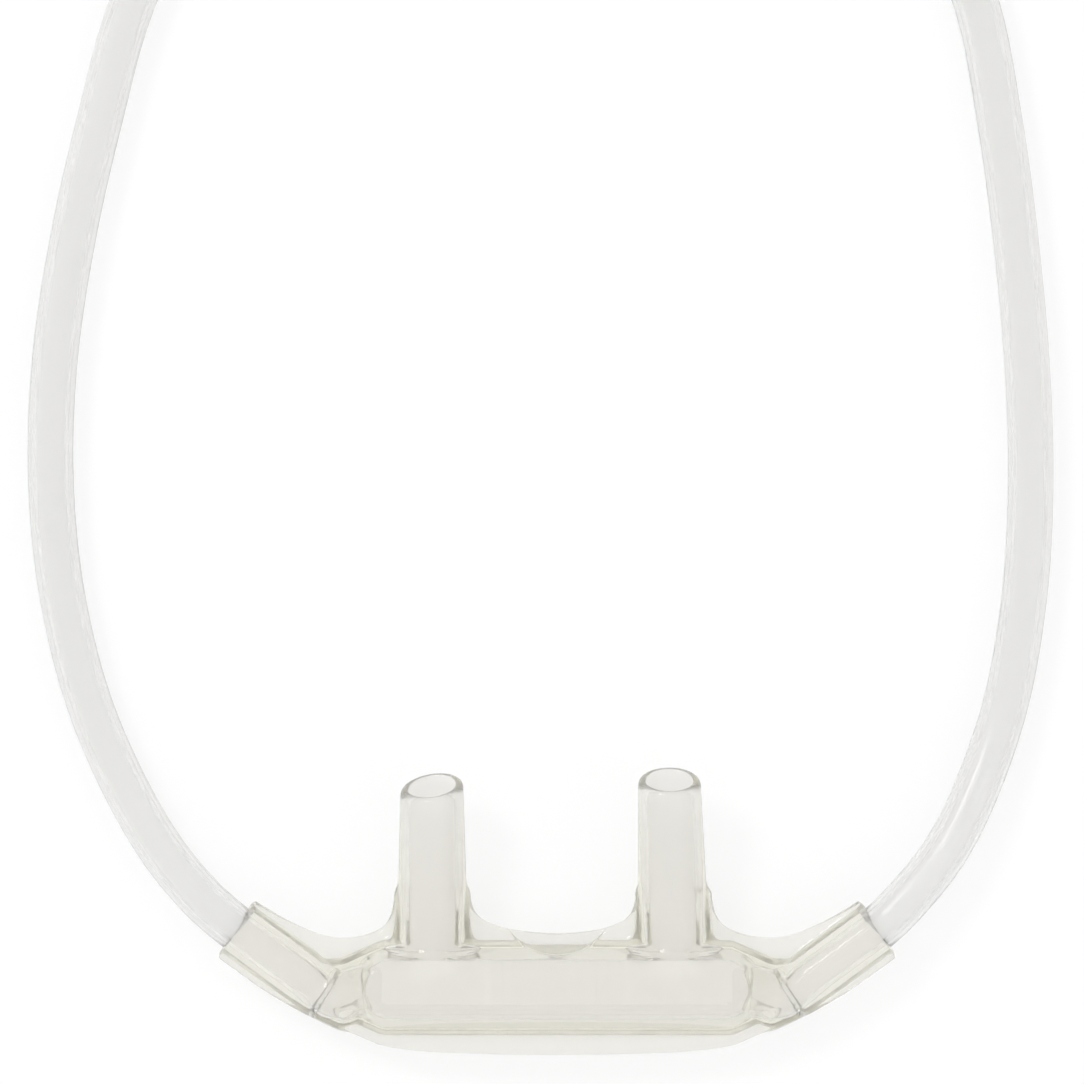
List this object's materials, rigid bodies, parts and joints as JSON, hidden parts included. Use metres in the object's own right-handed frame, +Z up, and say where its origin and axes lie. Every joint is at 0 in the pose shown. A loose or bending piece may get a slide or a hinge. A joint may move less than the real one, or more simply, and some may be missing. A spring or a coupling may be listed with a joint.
{
  "type": "nasal oxygen cannula",
  "caption": "Clear soft nosepiece with curved nasal prongs on slim head tubes, with a sliding adjuster, a Y joint and a coiled supply tube ending in a push-on connector.",
  "frame": {"origin": "under the middle of the nosepiece's outline, on the surface that it lies on", "axes": "+X along the nosepiece from the left head tube to the right one, +Y the way the prongs and the tubes run, +Z up"},
  "size_m": [0.0775, 0.248, 0.024],
  "materials": {
    "soft_pvc": "clear soft PVC, glossy, faintly yellow where thick",
    "tubing": "clear extruded PVC, smooth, slightly milky",
    "rigid_clear": "clear moulded plastic, polished",
    "tie_band": "thin white band, matt"
  },
  "bodies": {
    "cannula": {"nosepiece": "soft_pvc", "head_tube_left": "tubing", "head_tube_right": "tubing", "y_joint": "soft_pvc", "supply_tube_lead": "tubing", "supply_coil": "tubing", "supply_tube_tail": "tubing", "supply_connector": "soft_pvc", "coil_tie_1": "tie_band", "coil_tie_2": "tie_band"},
    "adjuster": {"tube_slide": "rigid_clear"}
  },
  "joints": [
    {"name": "slide_travel", "type": "slide", "parent": "cannula", "child": "adjuster", "axis": [0, 1, 0], "range_m": [0, 0.0135]}
  ]
}
